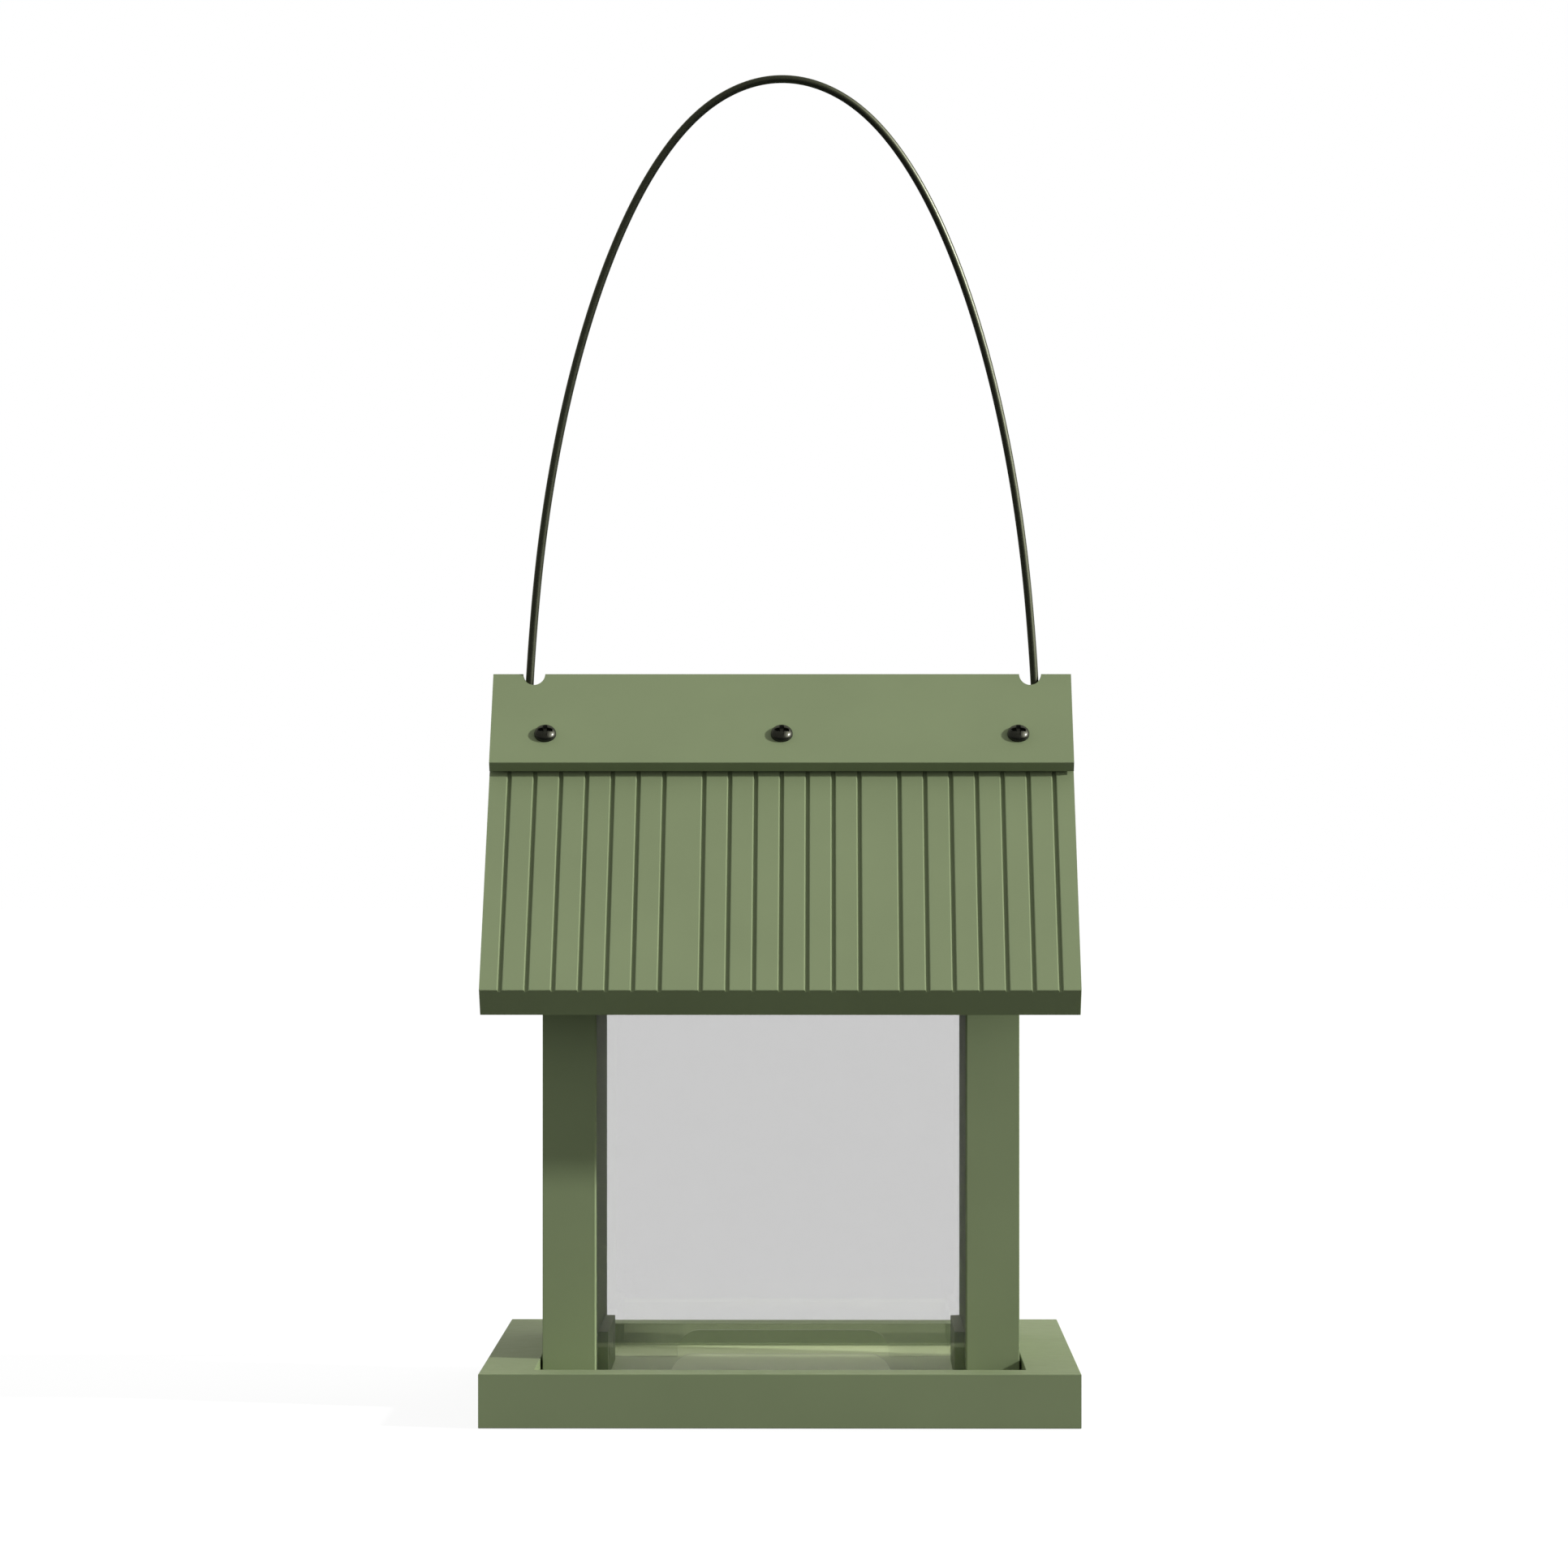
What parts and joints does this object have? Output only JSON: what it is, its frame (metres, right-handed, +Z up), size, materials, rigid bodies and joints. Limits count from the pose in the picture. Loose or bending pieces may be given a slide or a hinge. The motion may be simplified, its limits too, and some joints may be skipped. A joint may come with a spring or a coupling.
{
  "type": "hopper bird feeder",
  "caption": "Hanging hopper bird feeder: mitred tray, gable end panels, clear windows with seed outlets, and a grooved pitched roof that lifts along a cable.",
  "frame": {"origin": "middle of the tray's underside", "axes": "+Z up along the ridge's height, +X along the ridge to the right as seen from the front, front towards -Y"},
  "size_m": [0.2136, 0.2578, 0.4888],
  "materials": {
    "green_board": "finely textured solid-coloured board",
    "roof_board": "finely textured solid-coloured board, grooved",
    "floor_board": "matte board",
    "clear_pane": "clear polished sheet",
    "black_screw": "black coated",
    "black_cable": "smooth black jacket over a steel cable",
    "ferrule_metal": "plain crimped sleeve"
  },
  "bodies": {
    "base": {"tray_front_rail": "green_board", "tray_back_rail": "green_board", "tray_left_rail": "green_board", "tray_right_rail": "green_board", "left_end_panel": "green_board", "right_end_panel": "green_board", "left_cleat": "green_board", "right_cleat": "green_board", "tray_floor": "floor_board", "front_window": "clear_pane", "back_window": "clear_pane", "left_panel_screw_front": "black_screw", "left_panel_screw_back": "black_screw", "right_panel_screw_front": "black_screw", "right_panel_screw_back": "black_screw", "left_corner_screw_front": "black_screw", "left_corner_screw_back": "black_screw", "right_corner_screw_front": "black_screw", "right_corner_screw_back": "black_screw", "left_cleat_screw_front": "black_screw", "left_cleat_screw_back": "black_screw", "right_cleat_screw_front": "black_screw", "right_cleat_screw_back": "black_screw", "hanger_cable": "black_cable", "left_ferrule": "ferrule_metal", "right_ferrule": "ferrule_metal"},
    "roof": {"front_roof_board": "roof_board", "back_roof_board": "roof_board", "ridge_cap": "roof_board", "cap_screw_front_left": "black_screw", "cap_screw_front_middle": "black_screw", "cap_screw_front_right": "black_screw", "cap_screw_back_left": "black_screw", "cap_screw_back_middle": "black_screw", "cap_screw_back_right": "black_screw"}
  },
  "joints": [
    {"name": "roof_lift", "type": "slide", "parent": "base", "child": "roof", "axis": [0, 0, 1], "range_m": [0, 0.04]}
  ]
}
